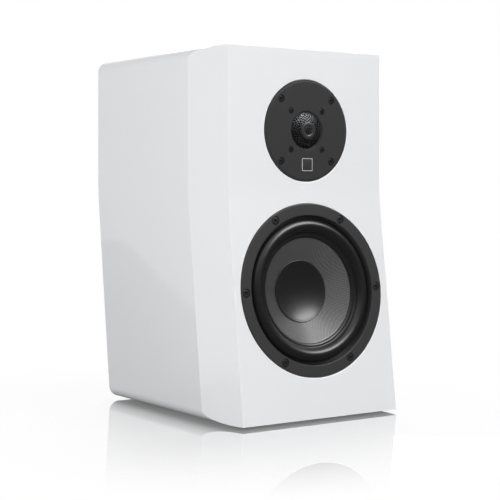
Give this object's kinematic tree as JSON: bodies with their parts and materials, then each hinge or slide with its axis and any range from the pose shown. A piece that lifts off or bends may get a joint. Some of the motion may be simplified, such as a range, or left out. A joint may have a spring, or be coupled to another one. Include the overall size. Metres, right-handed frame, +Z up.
{
  "type": "bookshelf speaker",
  "caption": "Two-way bookshelf loudspeaker with a bent gloss cabinet, chamfered baffle, domed-guard tweeter, woven-cone woofer, rear reflex port and screw-down binding posts.",
  "frame": {"origin": "on the standing surface, under the middle of the overall box", "axes": "+Z up, the front faces -Y, +X to the right as seen from the front"},
  "size_m": [0.22, 0.278, 0.38],
  "materials": {
    "lacquer": "gloss white lacquer on fibreboard",
    "fibreboard": "raw fibreboard",
    "felt": "needled felt",
    "foot_rubber": "matte moulded rubber",
    "cast_black": "satin black powder coat on a casting",
    "surround_rubber": "smooth matte rubber",
    "woven_cone": "coated woven glass fibre",
    "cap_satin": "satin coated",
    "copper": "enamelled copper winding",
    "spider_cloth": "resin-treated cotton",
    "plated_steel": "zinc plated",
    "ferrite": "sintered ferrite",
    "black_steel": "black oxide",
    "plate_grey": "fine matte black-grey coat",
    "guard_metal": "dark satin metal",
    "dome_metal": "satin anodised",
    "black_plastic": "fine textured moulding",
    "plated_brass": "gold-coloured plating",
    "board_green": "solder mask"
  },
  "bodies": {
    "cabinet": {"front_baffle": "lacquer", "left_side_panel": "lacquer", "right_side_panel": "lacquer", "top_panel": "lacquer", "bottom_panel": "lacquer", "rear_panel": "lacquer", "window_brace": "fibreboard", "damping_felt": "felt", "foot_front_left": "foot_rubber", "foot_front_right": "foot_rubber", "foot_rear_left": "foot_rubber", "foot_rear_right": "foot_rubber", "woofer_basket": "cast_black", "woofer_surround": "surround_rubber", "woofer_spider": "spider_cloth", "woofer_top_plate": "plated_steel", "woofer_magnet": "ferrite", "woofer_yoke": "plated_steel", "woofer_screw_1": "black_steel", "woofer_screw_2": "black_steel", "woofer_screw_3": "black_steel", "woofer_screw_4": "black_steel", "woofer_screw_5": "black_steel", "woofer_screw_6": "black_steel", "tweeter_faceplate": "plate_grey", "tweeter_guard": "guard_metal", "tweeter_diffuser": "guard_metal", "tweeter_top_plate": "plated_steel", "tweeter_magnet": "ferrite", "tweeter_yoke": "plated_steel", "tweeter_rear_chamber": "black_plastic", "faceplate_screw_1": "black_steel", "faceplate_screw_2": "black_steel", "faceplate_screw_3": "black_steel", "faceplate_screw_4": "black_steel", "motor_screw_1": "black_steel", "motor_screw_2": "black_steel", "motor_screw_3": "black_steel", "motor_screw_4": "black_steel", "port_tube": "black_plastic", "terminal_plate": "black_plastic", "terminal_screw_1": "black_steel", "terminal_screw_2": "black_steel", "terminal_screw_3": "black_steel", "terminal_screw_4": "black_steel", "left_post_stud": "plated_brass", "right_post_stud": "plated_brass", "left_post_collar": "black_plastic", "right_post_collar": "black_plastic", "crossover_board": "board_green", "crossover_coil": "copper", "crossover_capacitor": "black_plastic"},
    "woofer_moving": {"woofer_cone": "woven_cone", "woofer_dust_cap": "cap_satin", "woofer_voice_coil": "copper"},
    "tweeter_moving": {"tweeter_dome": "dome_metal"},
    "left_washer": {"left_post_washer": "plated_brass"},
    "left_cap": {"left_post_cap": "plated_brass"},
    "right_washer": {"right_post_washer": "plated_brass"},
    "right_cap": {"right_post_cap": "plated_brass"}
  },
  "joints": [
    {"name": "woofer_stroke", "type": "slide", "parent": "cabinet", "child": "woofer_moving", "axis": [0, -0.9928, 0.1201], "range_m": [-0.006, 0.006], "stiffness_N_per_m": 1200, "deforming": ["woofer_surround", "woofer_spider"]},
    {"name": "tweeter_stroke", "type": "slide", "parent": "cabinet", "child": "tweeter_moving", "axis": [0, -1, 0], "range_m": [-0.00025, 0.00025], "stiffness_N_per_m": 200},
    {"name": "left_post_slide", "type": "slide", "parent": "cabinet", "child": "left_washer", "axis": [0, 0.9928, -0.1201], "range_m": [0, 0.005]},
    {"name": "left_post_turn", "type": "hinge", "parent": "left_washer", "child": "left_cap", "pos_m": [0.015, 0.11876, 0.065], "axis": [0, 0.9928, -0.1201], "range_deg": [0, 1800]},
    {"name": "right_post_slide", "type": "slide", "parent": "cabinet", "child": "right_washer", "axis": [0, 0.9928, -0.1201], "range_m": [0, 0.005]},
    {"name": "right_post_turn", "type": "hinge", "parent": "right_washer", "child": "right_cap", "pos_m": [-0.015, 0.11876, 0.065], "axis": [0, 0.9928, -0.1201], "range_deg": [0, 1800]}
  ],
  "couplings": [
    {"joint": "left_post_turn", "follows": "left_post_slide", "rad_per_m": 6283.2},
    {"joint": "right_post_turn", "follows": "right_post_slide", "rad_per_m": 6283.2}
  ]
}
